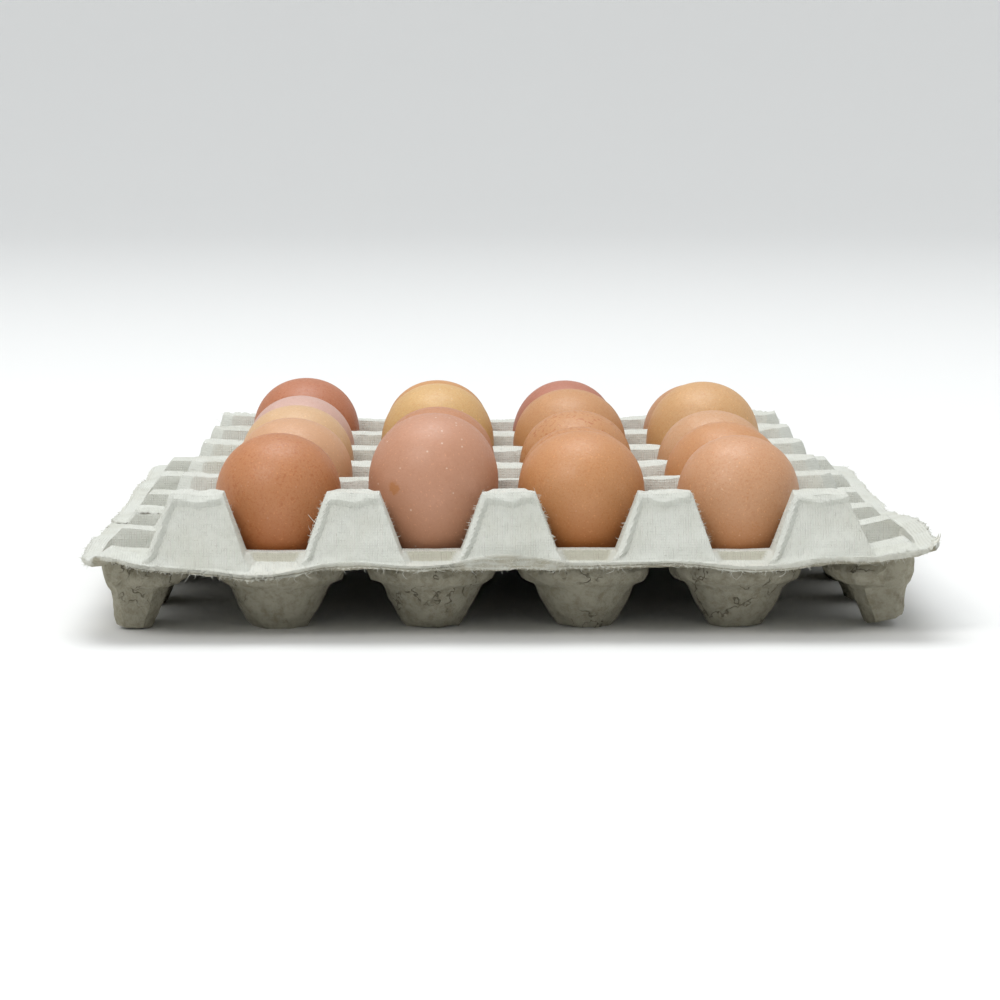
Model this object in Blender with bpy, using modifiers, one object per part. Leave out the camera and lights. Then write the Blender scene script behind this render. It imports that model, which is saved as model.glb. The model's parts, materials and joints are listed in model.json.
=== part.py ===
"""Egg carton with eggs: a moulded-pulp tray of 4 by 5 cups holding twenty brown eggs.

Metres, +Z up. The origin is under the middle of the tray, on the surface that its feet stand on.
+X runs along the side with four eggs, +Y along the side with five.

The tray is one thin sheet of pulp. Its creases are drawn as seen from above, on a square lattice of
one pitch: posts at the corners of the cups, low ridges between the posts, round cups for the eggs,
and on the left and right a margin of empty pockets whose bottoms are feet. A constrained Delaunay
triangulation joins the creases into a sheet, and Solidify gives the sheet its thickness.
"""
import math

import bpy
from mathutils import Euler, Matrix, Vector
from mathutils.bvhtree import BVHTree
from mathutils.geometry import delaunay_2d_cdt

# Driving dimensions, in metres.
PITCH = 0.054             # spacing of the cups, the same both ways
WALL = 0.0022             # thickness of the pulp
POST_TOP_Z = 0.0522       # the posts that carry the next tray of a stack
POST_DISH = 0.0007        # hollow in the middle of a post's top
POST_SHOULDER_Z = 0.0445  # where a cup's wall cuts a post's corner
ROW_RIDGE_Z = 0.0325      # ridges that run left to right
COLUMN_RIDGE_Z = 0.0262   # ridges that run front to back
MARGIN_RIDGE_Z = 0.0312   # ridges between the empty pockets
RIM_Z = 0.0268            # top of the flange around the tray
RIM_DROOP = 0.0004
CUP_SHOULDER_Z = 0.0180
CUP_WAIST_Z = 0.0085
POCKET_SHOULDER_Z = 0.0160
FOOT_FLAT = 0.0012        # what is lower than this belongs to a foot's flat bottom

# Plan dimensions, in pitches.
POST_HALF = 0.17          # half of a post's top
POST_CORNER = 0.09        # where its corner is cut off
POST_DIAGONAL = 0.192     # a cup's wall meets the post's corner this far out, both ways
ROW_EDGE = 0.112          # half width of a ridge that runs left to right
ROW_FOOT = 0.31           # a post's slope ends here on that ridge
COLUMN_EDGE = 0.132       # the same two for a ridge that runs front to back
COLUMN_FOOT = 0.35
CUP_SHOULDER = 0.330
CUP_WAIST = 0.253
CUP_FLOOR = 0.180
RIM_HALF = 2.75           # from the middle to the rim's edge, both ways
RIM_CORNER = 0.10
RIM_STOPS_FRONT = (-2.35, -1.5, 0.0, 1.5, 2.35)   # points where the rim's edge can bend
RIM_STOPS_SIDE = (-2.0, -1.0, 0.0, 1.0, 2.0)
FRONT_ROOT = 2.70         # the flange's inner edge at the front and back
SIDE_ROOT = 2.635         # and at the left and right
TAB_TOP = 2.572           # outer edge of a front post's top
TAB_BASE_HALF = 0.345     # half width of its face at the flange
WALL_TOP = 2.585          # outer edge of the low wall between two front posts
MARGIN_IN = 2.285         # a margin ridge's top runs from here to MARGIN_OUT
MARGIN_OUT = 2.570
MARGIN_HALF = 0.155       # half width of its top
RIB_FOOT = 2.40           # the rib down the outer face of a side post ends here, from the middle
FLANK_FOOT = (2.262, 0.325)   # lower corner of that face: from the middle, from the post's row
FLANK_FOOT_Z = 0.0240

# The pulp is soft. Its middle has sunk under the eggs from the second row to the back. Its two front
# corners curl up, the right one most, and the feet there swing outwards.
SAG_SHARE = 0.095         # share of its height that the middle has lost
SAG_ROWS = (-2.60, -0.95)  # the sag grows from nothing to its full depth between these
CURL_LEFT = 0.0035        # rise of the rim's front corners
CURL_RIGHT = 0.0085
SWING_LEFT = 0.04         # how far a foot swings out, as a share of its depth below the rim
SWING_RIGHT = 0.11
CURL_START = 2.10         # the curl starts here, from the middle to the left and right
CURL_ROWS = (-2.00, 0.20)  # and fades from its full height to nothing between these

EGG_COLUMNS = (-1.5, -0.5, 0.5, 1.5)
EGG_ROWS = (-2, -1, 0, 1, 2)
POST_COLUMNS = (-2, -1, 0, 1, 2)
POST_ROWS = (-2.5, -1.5, -0.5, 0.5, 1.5, 2.5)
SIDES = (-1, 1)

# The eggs stand blunt end up. Skew is how much fuller the blunt half is.
EGG_SKEW = 0.19
EGG_GAP = 0.0006          # least gap between a shell and the pulp
EGG_STEP = 0.0002         # an egg is lowered into its cup by this much at a time
EGG_SEGMENTS = 14
EGG_RINGS = 8

# One line for each row of cups from the front to the back, and in it for each egg from left to
# right: width, length and shift to the right in millimetres, tilt to the right and to the back in
# degrees.
EGG_SIZES = (
    ((44.7, 57.0, -0.2, 0.5, 1.0), (46.1, 61.8, 0.2, 3.0, -1.0),
     (44.9, 54.0, -0.5, -2.5, 1.5), (43.8, 57.0, 0.2, 3.0, 1.0)),
    ((44.2, 54.5, 0.9, 7.5, -1.5), (43.8, 58.0, 0.3, -1.0, 1.0),
     (44.2, 55.5, 0.6, -3.5, 1.0), (44.2, 54.8, -1.0, 5.0, 2.0)),
    ((44.0, 57.0, 0.7, 2.5, 2.0), (44.2, 55.0, 0.8, 4.0, -2.0),
     (44.0, 55.0, 0.5, 2.5, -1.0), (44.0, 56.0, -0.6, 3.0, 1.0)),
    ((43.7, 58.0, -0.3, 2.0, 1.5), (45.3, 61.0, 0.5, 3.0, 1.0),
     (45.4, 57.8, 0.3, -1.0, 2.0), (45.5, 61.0, -0.6, 2.0, -1.0)),
    ((44.4, 58.0, -0.6, 3.0, -1.0), (44.0, 57.5, 0.9, -1.0, 1.5),
     (43.8, 61.0, -0.5, 1.5, 1.0), (43.6, 56.5, 0.3, -1.0, 1.0)),
)

PULP_COLOUR = (0.63, 0.63, 0.56, 1.0)
# Shell colours, in the same order as the sizes.
SHELL_COLOURS = (
    ((0.46, 0.205, 0.10), (0.49, 0.26, 0.17), (0.52, 0.265, 0.135), (0.555, 0.32, 0.215)),
    ((0.56, 0.33, 0.19), (0.50, 0.27, 0.16), (0.51, 0.26, 0.13), (0.53, 0.28, 0.15)),
    ((0.60, 0.41, 0.24), (0.48, 0.24, 0.15), (0.52, 0.28, 0.15), (0.56, 0.35, 0.24)),
    ((0.56, 0.38, 0.34), (0.61, 0.42, 0.22), (0.52, 0.29, 0.16), (0.58, 0.37, 0.21)),
    ((0.44, 0.18, 0.11), (0.55, 0.30, 0.14), (0.42, 0.17, 0.11), (0.52, 0.30, 0.19)),
)


class Creases:
    """Points and lines of the sheet in plan, in pitches, with a height in metres for each point."""

    def __init__(self):
        self.points = []
        self.heights = []
        self.lookup = {}
        self.lines = set()

    def point(self, x, y, z):
        key = (round(x, 5), round(y, 5))
        if key not in self.lookup:
            self.lookup[key] = len(self.points)
            self.points.append(Vector(key))
            self.heights.append(z)
        return self.lookup[key]

    def line(self, corners, closed=False):
        ids = [self.point(*corner) for corner in corners]
        ends = ids[1:] + ids[:1] if closed else ids[1:]
        for start, end in zip(ids, ends):
            self.lines.add((min(start, end), max(start, end)))

    def sheet(self, name):
        """The triangulated sheet as a mesh in metres."""
        verts, _, faces, origins, _, _ = delaunay_2d_cdt(
            self.points, sorted(self.lines), [], 0, 1e-6, True)
        places = []
        for vert, origin in zip(verts, origins):
            if not origin:
                raise RuntimeError("two creases cross at %.3f, %.3f" % (vert.x, vert.y))
            places.append((vert.x * PITCH, vert.y * PITCH, self.heights[origin[0]]))
        mesh = bpy.data.meshes.new(name)
        mesh.from_pydata(places, [], [tuple(face) for face in faces])
        mesh.update()
        return mesh


def ring(cx, cy, radius, count, z, turn=0.0):
    """Points of a round crease."""
    angles = [turn + 2 * math.pi * k / count for k in range(count)]
    return [(cx + radius * math.cos(a), cy + radius * math.sin(a), z) for a in angles]


def inner_post(creases, column, row):
    """A post's eight-sided top and the feet of its four slopes, with no neighbour at the rim."""
    top = []
    for sx, sy in ((1, 1), (-1, 1), (-1, -1), (1, -1)):
        corner = [(POST_HALF, POST_CORNER), (POST_CORNER, POST_HALF)]
        if sx * sy < 0:
            corner.reverse()
        top += [(column + sx * dx, row + sy * dy, POST_TOP_Z) for dx, dy in corner]
    creases.line(top, closed=True)
    creases.point(column, row, POST_TOP_Z - POST_DISH)


def front_post(creases, column, side):
    """A post at the front or back: a flat tab whose face leans out and widens down to the flange."""
    row = side * 2.5
    y_in, y_cut, y_out = side * (2.5 - POST_HALF), side * (2.5 - POST_CORNER), side * TAB_TOP
    creases.line([(column + POST_HALF, y_out, POST_TOP_Z), (column + POST_HALF, y_cut, POST_TOP_Z),
                  (column + POST_CORNER, y_in, POST_TOP_Z), (column - POST_CORNER, y_in, POST_TOP_Z),
                  (column - POST_HALF, y_cut, POST_TOP_Z), (column - POST_HALF, y_out, POST_TOP_Z)],
                 closed=True)
    creases.point(column, row, POST_TOP_Z - POST_DISH)
    for sx in SIDES:
        creases.line([(column + sx * POST_HALF, y_out, POST_TOP_Z),
                      (column + sx * TAB_BASE_HALF, side * FRONT_ROOT, RIM_Z)])


def egg_cup(creases, column, row):
    """The edge of a cup, where ridges and posts fall away into it, and its rings down to the floor."""
    edge = []
    for turn in range(4):
        along_x = turn % 2 == 0
        reach = 0.5 - (COLUMN_EDGE if along_x else ROW_EDGE)
        foot = 0.5 - (COLUMN_FOOT if along_x else ROW_FOOT)
        z = COLUMN_RIDGE_Z if along_x else ROW_RIDGE_Z
        diagonal = 0.5 - POST_DIAGONAL
        local = [(reach, -foot, z), (reach, foot, z), (diagonal, diagonal, POST_SHOULDER_Z)]
        c, s = (1, 0, -1, 0)[turn], (0, 1, 0, -1)[turn]
        edge += [(column + c * x - s * y, row + s * x + c * y, height) for x, y, height in local]
    creases.line(edge, closed=True)
    creases.line(ring(column, row, CUP_SHOULDER, 12, CUP_SHOULDER_Z, math.pi / 12), closed=True)
    creases.line(ring(column, row, CUP_WAIST, 12, CUP_WAIST_Z, math.pi / 12), closed=True)
    creases.line(ring(column, row, CUP_FLOOR, 8, WALL, math.pi / 8), closed=True)


def ridge_ends(creases):
    """The feet of the posts' slopes across each ridge, and the slopes' own edges."""
    for row in POST_ROWS:
        for column in POST_COLUMNS:
            for sx in SIDES:
                if abs(column + sx) > 2:
                    continue
                x_top, x_foot = column + sx * POST_HALF, column + sx * ROW_FOOT
                edges = []
                for sy in SIDES:
                    outside = abs(row) == 2.5 and sy * row > 0
                    y_top = sy * TAB_TOP if outside else row + sy * POST_CORNER
                    y_foot = sy * WALL_TOP if outside else row + sy * ROW_EDGE
                    foot = (x_foot, y_foot, ROW_RIDGE_Z)
                    creases.line([(x_top, y_top, POST_TOP_Z), foot])
                    edges.append(foot)
                creases.line(edges)
    for column in POST_COLUMNS:
        for row in POST_ROWS:
            for sy in SIDES:
                if abs(row + sy) > 2.5:
                    continue
                y_top, y_foot = row + sy * POST_HALF, row + sy * COLUMN_FOOT
                edges = []
                for sx in SIDES:
                    foot = (column + sx * COLUMN_EDGE, y_foot, COLUMN_RIDGE_Z)
                    creases.line([(column + sx * POST_CORNER, y_top, POST_TOP_Z), foot])
                    edges.append(foot)
                creases.line(edges)


def low_walls(creases):
    """The low wall between two front posts, and the same at the back."""
    for side in SIDES:
        for column in EGG_COLUMNS:
            reach = 0.5 - ROW_FOOT
            base = 0.5 - TAB_BASE_HALF
            creases.line([(column - reach, side * WALL_TOP, ROW_RIDGE_Z),
                          (column + reach, side * WALL_TOP, ROW_RIDGE_Z)])
            for sx in SIDES:
                creases.line([(column + sx * reach, side * WALL_TOP, ROW_RIDGE_Z),
                              (column + sx * base, side * FRONT_ROOT, RIM_Z)])


def side_post_face(creases, side, row):
    """The outer face of a side post: two flat flanks and a rib that runs out onto the margin ridge."""
    foot_x, foot_y = FLANK_FOOT
    crest = (side * RIB_FOOT, row, MARGIN_RIDGE_Z)
    creases.line([(side * (2 + POST_HALF), row, POST_TOP_Z), crest])
    for sy in SIDES:
        creases.line([(side * (2 + POST_HALF), row + sy * POST_CORNER, POST_TOP_Z),
                      (side * MARGIN_IN, row + sy * MARGIN_HALF, MARGIN_RIDGE_Z), crest])
        if abs(row + sy) > 2.5:
            continue
        creases.line([(side * MARGIN_IN, row + sy * MARGIN_HALF, MARGIN_RIDGE_Z),
                      (side * foot_x, row + sy * foot_y, FLANK_FOOT_Z),
                      (side * (2 + POST_CORNER), row + sy * POST_HALF, POST_TOP_Z)])
        creases.line([(side * foot_x, row + sy * foot_y, FLANK_FOOT_Z),
                      (side * (2 + COLUMN_EDGE), row + sy * COLUMN_FOOT, COLUMN_RIDGE_Z)])


def margin_pocket(creases, side, row):
    """An empty pocket in the left or right margin. Its bottom is a foot."""
    edge_half = 0.5 - MARGIN_HALF
    for sy in SIDES:
        creases.line([(side * MARGIN_IN, row + sy * edge_half, MARGIN_RIDGE_Z),
                      (side * MARGIN_OUT, row + sy * edge_half, MARGIN_RIDGE_Z),
                      (side * SIDE_ROOT, row + sy * (edge_half - 0.02), RIM_Z)])
    creases.line([(side * SIDE_ROOT, row - edge_half + 0.02, RIM_Z),
                  (side * SIDE_ROOT, row + edge_half - 0.02, RIM_Z)])
    shoulder = ((2.240, 0.100), (2.310, 0.260), (2.530, 0.285), (2.575, 0.230))
    floor = ((2.345, 0.120), (2.380, 0.195), (2.480, 0.205), (2.515, 0.160))
    for outline, z in ((shoulder, POCKET_SHOULDER_Z), (floor, WALL)):
        loop = [(side * x, row + y, z) for x, y in outline]
        loop += [(side * x, row - y, z) for x, y in reversed(outline)]
        creases.line(loop, closed=True)


def margin_ridges(creases, side):
    """The outer end of each ridge between two pockets."""
    for row in POST_ROWS[1:-1]:
        creases.line([(side * MARGIN_OUT, row - MARGIN_HALF, MARGIN_RIDGE_Z),
                      (side * MARGIN_OUT, row + MARGIN_HALF, MARGIN_RIDGE_Z)])
        creases.line([(side * SIDE_ROOT, row - MARGIN_HALF - 0.02, RIM_Z),
                      (side * SIDE_ROOT, row + MARGIN_HALF + 0.02, RIM_Z)])


def corner(creases, side_x, side_y):
    """The low wall that closes the margin at one corner of the tray, beside the last front post."""
    wall_in = 2.5 - MARGIN_HALF
    tab_foot = 2 + ROW_FOOT
    creases.line([(side_x * (2 + POST_HALF), side_y * TAB_TOP, POST_TOP_Z),
                  (side_x * tab_foot, side_y * WALL_TOP, MARGIN_RIDGE_Z),
                  (side_x * MARGIN_OUT, side_y * WALL_TOP, MARGIN_RIDGE_Z),
                  (side_x * MARGIN_OUT, side_y * wall_in, MARGIN_RIDGE_Z)])
    creases.line([(side_x * tab_foot, side_y * WALL_TOP, MARGIN_RIDGE_Z),
                  (side_x * MARGIN_IN, side_y * wall_in, MARGIN_RIDGE_Z),
                  (side_x * (2 + POST_HALF), side_y * (2.5 - POST_CORNER), POST_TOP_Z)])
    creases.line([(side_x * tab_foot, side_y * WALL_TOP, MARGIN_RIDGE_Z),
                  (side_x * (2 + TAB_BASE_HALF), side_y * FRONT_ROOT, RIM_Z)])
    creases.line([(side_x * MARGIN_OUT, side_y * WALL_TOP, MARGIN_RIDGE_Z),
                  (side_x * SIDE_ROOT, side_y * (FRONT_ROOT - 0.03), RIM_Z)])
    creases.line([(side_x * SIDE_ROOT, side_y * (wall_in - 0.02), RIM_Z),
                  (side_x * SIDE_ROOT, side_y * (FRONT_ROOT - 0.03), RIM_Z),
                  (side_x * (SIDE_ROOT - 0.03), side_y * FRONT_ROOT, RIM_Z)])


def flange(creases):
    """The flat flange: its inner edge at the front and back, and its outline with round corners."""
    for side in SIDES:
        stops = [-(SIDE_ROOT - 0.03)]
        for column in POST_COLUMNS:
            stops += [column - TAB_BASE_HALF, column + TAB_BASE_HALF]
        stops.append(SIDE_ROOT - 0.03)
        creases.line([(x, side * FRONT_ROOT, RIM_Z) for x in stops])
    middle = RIM_HALF - RIM_CORNER
    edge = RIM_Z - RIM_DROOP
    outline = []
    for turn, stops in enumerate((RIM_STOPS_SIDE, RIM_STOPS_FRONT) * 2):
        c, s = (1, 0, -1, 0)[turn], (0, 1, 0, -1)[turn]
        run = [(RIM_HALF, stop) for stop in stops]
        for degrees in (0, 45, 90):
            angle = math.radians(degrees)
            run.append((middle + RIM_CORNER * math.cos(angle), middle + RIM_CORNER * math.sin(angle)))
        outline += [(c * x - s * y, s * x + c * y, edge) for x, y in run]
    creases.line(outline, closed=True)


def pulp_sheet():
    """Every crease of the tray, joined into one open sheet."""
    creases = Creases()
    for column in POST_COLUMNS:
        for row in POST_ROWS[1:-1]:
            inner_post(creases, column, row)
        for side in SIDES:
            front_post(creases, column, side)
    for column in EGG_COLUMNS:
        for row in EGG_ROWS:
            egg_cup(creases, column, row)
    ridge_ends(creases)
    low_walls(creases)
    for side in SIDES:
        for row in POST_ROWS[1:-1]:
            side_post_face(creases, side, row)
        for row in EGG_ROWS:
            margin_pocket(creases, side, row)
        margin_ridges(creases, side)
        for side_y in SIDES:
            corner(creases, side, side_y)
    flange(creases)
    return creases.sheet("tray_sheet")


def material(name, colour, roughness):
    """A plain surface of one colour."""
    surface = bpy.data.materials.new(name)
    surface.use_nodes = True
    shader = surface.node_tree.nodes["Principled BSDF"]
    shader.inputs["Base Color"].default_value = colour
    shader.inputs["Roughness"].default_value = roughness
    shader.inputs["Metallic"].default_value = 0.0
    return surface


def place(name, mesh, surface, collection):
    """A new object with its own surface in the collection."""
    thing = bpy.data.objects.new(name, mesh)
    thing.data.materials.append(surface)
    collection.objects.link(thing)
    return thing


def ramp(value, low, high):
    """A smooth step from 0 at low to 1 at high."""
    t = min(1.0, max(0.0, (value - low) / (high - low)))
    return t * t * (3 - 2 * t)


def settled(place):
    """Where a point of a new tray is in this used one."""
    x, y = place.x / PITCH, place.y / PITCH
    right = x > 0
    sag = SAG_SHARE * (1 - (x / RIM_HALF) ** 2) * ramp(y, *SAG_ROWS)
    reach = max(0.0, (abs(x) - CURL_START) / (RIM_HALF - CURL_START))
    near = 1 - ramp(y, *CURL_ROWS)
    curl = (CURL_RIGHT if right else CURL_LEFT) * reach ** 2 * near
    swing = (SWING_RIGHT if right else -SWING_LEFT) * ramp(reach, 0.0, 0.5) * near
    return Vector((place.x + swing * (RIM_Z - place.z), place.y, place.z * (1 - sag) + curl))


def build_tray(collection):
    """The tray: the sheet with its thickness below it, and the feet made flat underneath."""
    sheet = place("sheet", pulp_sheet(), material("pulp", PULP_COLOUR, 0.95), collection)
    thickness = sheet.modifiers.new("thickness", "SOLIDIFY")
    thickness.thickness = WALL
    thickness.offset = -1.0
    thickness.use_even_offset = True
    bpy.context.view_layer.update()
    solid = bpy.data.meshes.new_from_object(sheet.evaluated_get(bpy.context.evaluated_depsgraph_get()))
    bpy.data.objects.remove(sheet)
    for vert in solid.vertices:
        if vert.co.z < FOOT_FLAT:
            vert.co.z = 0.0
        vert.co = settled(vert.co)
    tray = bpy.data.objects.new("tray", solid)
    collection.objects.link(tray)
    return BVHTree.FromPolygons([vert.co for vert in solid.vertices],
                                [tuple(face.vertices) for face in solid.polygons])


def egg_radius(t):
    """Relative radius of an egg at height t, from -1 at the pointed end to 1 at the blunt end."""
    return math.sqrt(max(0.0, 1 - t * t)) * math.exp(EGG_SKEW * t)


def egg_shape(width, length):
    """Points and faces of an egg around its own middle: its profile turned about Z."""
    widest = (math.sqrt(1 + 4 * EGG_SKEW ** 2) - 1) / (2 * EGG_SKEW)
    scale = width / 2 / egg_radius(widest)
    step = 2 * math.pi / EGG_SEGMENTS
    scale *= math.sqrt(step / math.sin(step))   # so that the facets enclose what the round egg does
    points = [Vector((0, 0, -length / 2))]
    for k in range(1, EGG_RINGS):
        t = -math.cos(math.pi * k / EGG_RINGS)
        for place in ring(0, 0, scale * egg_radius(t), EGG_SEGMENTS, t * length / 2):
            points.append(Vector(place))
    points.append(Vector((0, 0, length / 2)))
    faces = []
    last = len(points) - 1
    top = last - EGG_SEGMENTS
    for k in range(EGG_SEGMENTS):
        after = (k + 1) % EGG_SEGMENTS
        faces.append((0, 1 + after, 1 + k))
        faces.append((top + k, top + after, last))
        for band in range(EGG_RINGS - 2):
            low = 1 + band * EGG_SEGMENTS
            high = low + EGG_SEGMENTS
            faces.append((low + k, low + after, high + after, high + k))
    return points, faces


def resting_place(width, length, x, y, turn, pulp):
    """Where an egg's middle comes to rest: it is lowered until a little more would touch the pulp."""
    points, faces = egg_shape(width + 2 * EGG_GAP, length + 2 * EGG_GAP)
    z = POST_TOP_Z + length / 2
    while True:
        place = Vector((x, y, z - EGG_STEP))
        matrix = Matrix.Translation(place) @ turn.to_matrix().to_4x4()
        if BVHTree.FromPolygons([matrix @ point for point in points], faces).overlap(pulp):
            return Vector((x, y, z))
        z -= EGG_STEP


def build_eggs(collection, pulp):
    """Twenty eggs of uneven size, each seated in its cup and a little tilted."""
    for row, (sizes, colours) in enumerate(zip(EGG_SIZES, SHELL_COLOURS)):
        for column, (size, colour) in enumerate(zip(sizes, colours)):
            width, length, shift = [value / 1000 for value in size[:3]]
            turn = Euler((math.radians(-size[4]), math.radians(size[3]), 0))
            name = "egg_%d_%d" % (row + 1, column + 1)
            points, faces = egg_shape(width, length)
            mesh = bpy.data.meshes.new(name)
            mesh.from_pydata(points, [], faces)
            mesh.shade_smooth()
            shell = material("shell_%d_%d" % (row + 1, column + 1), colour + (1.0,), 0.45)
            egg = place(name, mesh, shell, collection)
            egg.rotation_euler = turn
            egg.location = resting_place(width, length, EGG_COLUMNS[column] * PITCH + shift,
                                         EGG_ROWS[row] * PITCH, turn, pulp)


def main():
    for thing in list(bpy.data.objects):
        bpy.data.objects.remove(thing)
    collection = bpy.data.collections.new("egg_carton_with_eggs")
    bpy.context.scene.collection.children.link(collection)
    pulp = build_tray(collection)
    build_eggs(collection, pulp)


main()
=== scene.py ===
# Egg tray with twenty eggs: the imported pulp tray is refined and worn, and the shells get their finish.
import json
import math
import random

import bmesh
import bpy
import numpy as np
from mathutils import Euler, Matrix, Vector, noise
from mathutils.bvhtree import BVHTree
from mathutils.geometry import delaunay_2d_cdt


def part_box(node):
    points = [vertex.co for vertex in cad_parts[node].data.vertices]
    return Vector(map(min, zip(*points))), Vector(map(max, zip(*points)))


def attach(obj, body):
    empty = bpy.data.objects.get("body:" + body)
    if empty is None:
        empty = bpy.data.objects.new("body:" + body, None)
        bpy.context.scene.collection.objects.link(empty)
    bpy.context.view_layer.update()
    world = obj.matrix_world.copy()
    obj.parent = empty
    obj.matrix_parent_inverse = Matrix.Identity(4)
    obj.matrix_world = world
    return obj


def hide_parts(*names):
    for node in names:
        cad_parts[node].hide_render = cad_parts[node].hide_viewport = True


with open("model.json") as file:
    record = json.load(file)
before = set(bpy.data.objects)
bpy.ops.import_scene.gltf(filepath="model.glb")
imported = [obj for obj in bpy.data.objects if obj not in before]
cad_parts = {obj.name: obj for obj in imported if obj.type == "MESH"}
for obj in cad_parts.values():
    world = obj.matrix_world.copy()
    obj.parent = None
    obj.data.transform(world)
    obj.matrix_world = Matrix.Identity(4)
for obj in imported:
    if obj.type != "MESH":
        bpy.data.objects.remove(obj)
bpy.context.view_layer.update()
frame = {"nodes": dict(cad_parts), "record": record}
pitch = 0.054  # spacing of the cups
print("frame loaded,", len(frame["nodes"]), "nodes")


# ---------------------------------------------------------------- camera, light and floor

view = {
    "focal": 122.5,       # mm on a 36 mm sensor
    "place": (-0.0165, -1.3046, 0.2009),
    "lookDown": 7.45,     # degrees
    "yaw": -0.66,
    "roll": 0.06,
}


def addCamera():
    lens = bpy.data.cameras.new("camera")
    lens.sensor_width = 36
    lens.lens = view["focal"]
    camera = bpy.data.objects.new("camera", lens)
    bpy.context.scene.collection.objects.link(camera)
    camera.matrix_world = (
        Matrix.Translation(view["place"])
        @ Matrix.Rotation(math.radians(view["yaw"]), 4, "Z")
        @ Matrix.Rotation(math.radians(90 - view["lookDown"]), 4, "X")
        @ Matrix.Rotation(math.radians(-view["roll"]), 4, "Z")
    )
    bpy.context.scene.camera = camera


light = {
    "sky": (0.95, 0.975, 1.0),
    "skyPower": 0.75,
    "areas": (  # name, place, aim, size, watts, colour
        ("window", (-1.1, -1.7, 2.0), (0, 0, 0.04), 0.95, 22, (1.0, 0.985, 0.96)),
        ("ceiling", (-0.1, 0.3, 2.4), (0, 0, 0.03), 1.7, 32, (0.97, 0.99, 1.0)),
    ),
    "backdrop": (0.83, 0.83, 0.82),
    "floorRadius": 2.6,
    "wallRadius": 5.0,
    "wallHeight": 3.6,
}


def addLights():
    world = bpy.data.worlds.new("sky")
    bpy.context.scene.world = world
    world.use_nodes = True
    background = world.node_tree.nodes["Background"]
    background.inputs["Color"].default_value = (*light["sky"], 1)
    background.inputs["Strength"].default_value = light["skyPower"]
    for name, place, aim, size, power, colour in light["areas"]:
        lamp = bpy.data.lights.new(name, "AREA")
        lamp.shape = "DISK"
        lamp.size = size
        lamp.energy = power
        lamp.color = colour
        holder = bpy.data.objects.new(name, lamp)
        bpy.context.scene.collection.objects.link(holder)
        holder.location = place
        holder.rotation_euler = (Vector(aim) - Vector(place)).to_track_quat("-Z", "Y").to_euler()
    bpy.context.scene.view_settings.view_transform = "Standard"


def addBackdrop():
    # a round floor that sweeps up into a wall on every side
    flat, wall, height = light["floorRadius"], light["wallRadius"], light["wallHeight"]
    profile = [(0.5, 0), (flat, 0)]
    for k in range(1, 13):
        angle = math.pi / 2 * k / 12
        profile.append((flat + (wall - flat) * math.sin(angle), (wall - flat) * (1 - math.cos(angle))))
    profile.append((wall, height))
    sides = 96
    points, faces = [(0, 0, 0)], []
    for radius, z in profile:
        points += [(radius * math.cos(2 * math.pi * k / sides), radius * math.sin(2 * math.pi * k / sides), z)
                   for k in range(sides)]
    for k in range(sides):
        after = (k + 1) % sides
        faces.append((0, 1 + k, 1 + after))
        for band in range(len(profile) - 1):
            low, high = 1 + band * sides, 1 + (band + 1) * sides
            faces.append((low + k, high + k, high + after, low + after))
    sheet = bpy.data.meshes.new("backdrop")
    sheet.from_pydata(points, [], faces)
    sheet.shade_smooth()
    backdrop = bpy.data.objects.new("backdrop", sheet)
    bpy.context.scene.collection.objects.link(backdrop)
    paper = bpy.data.materials.new("backdrop_paper")
    paper.use_nodes = True
    shader = paper.node_tree.nodes["Principled BSDF"]
    shader.inputs["Base Color"].default_value = (*light["backdrop"], 1)
    shader.inputs["Roughness"].default_value = 0.9
    sheet.materials.append(paper)


addCamera()
addLights()
addBackdrop()
print("camera, lights and backdrop set")


# ---------------------------------------------------------------- shader tools

class Nodes:
    # short calls to lay out and join shader nodes

    def __init__(self, tree):
        self.tree = tree

    def add(self, kind, inputs=(), **settings):
        node = self.tree.nodes.new(kind)
        for name, value in settings.items():
            setattr(node, name, value)
        for name, value in dict(inputs).items():
            self.put(node.inputs[name], value)
        return node

    def put(self, socket, value):
        if isinstance(value, bpy.types.NodeSocket):
            self.tree.links.new(value, socket)
        elif socket.type == "RGBA" and len(value) == 3:
            socket.default_value = (*value, 1)
        else:
            socket.default_value = value

    def noise(self, vector, scale, detail=3, rough=0.5, stretch=None):
        if stretch:
            vector = self.add("ShaderNodeMapping", {"Vector": vector, "Scale": stretch}).outputs[0]
        found = self.add("ShaderNodeTexNoise", {"Vector": vector, "Scale": scale, "Detail": detail,
                                                "Roughness": rough})
        return found.outputs["Fac"]

    def span(self, value, low, high, start=0.0, end=1.0):
        found = self.add("ShaderNodeMapRange", {"Value": value, "From Min": low, "From Max": high,
                                                "To Min": start, "To Max": end})
        found.interpolation_type = "SMOOTHSTEP"
        return found.outputs["Result"]

    def sum(self, a, b, how="ADD"):
        found = self.add("ShaderNodeMath", operation=how)
        self.put(found.inputs[0], a)
        self.put(found.inputs[1], b)
        return found.outputs[0]

    def blend(self, share, a, b, how="MIX"):
        found = self.add("ShaderNodeMix", data_type="RGBA", blend_type=how)
        self.put(found.inputs[0], share)
        self.put(found.inputs[6], a)
        self.put(found.inputs[7], b)
        return found.outputs[2]


def newMaterial(name):
    made = bpy.data.materials.new(name)
    made.use_nodes = True
    return made, Nodes(made.node_tree), made.node_tree.nodes["Principled BSDF"]


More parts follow.
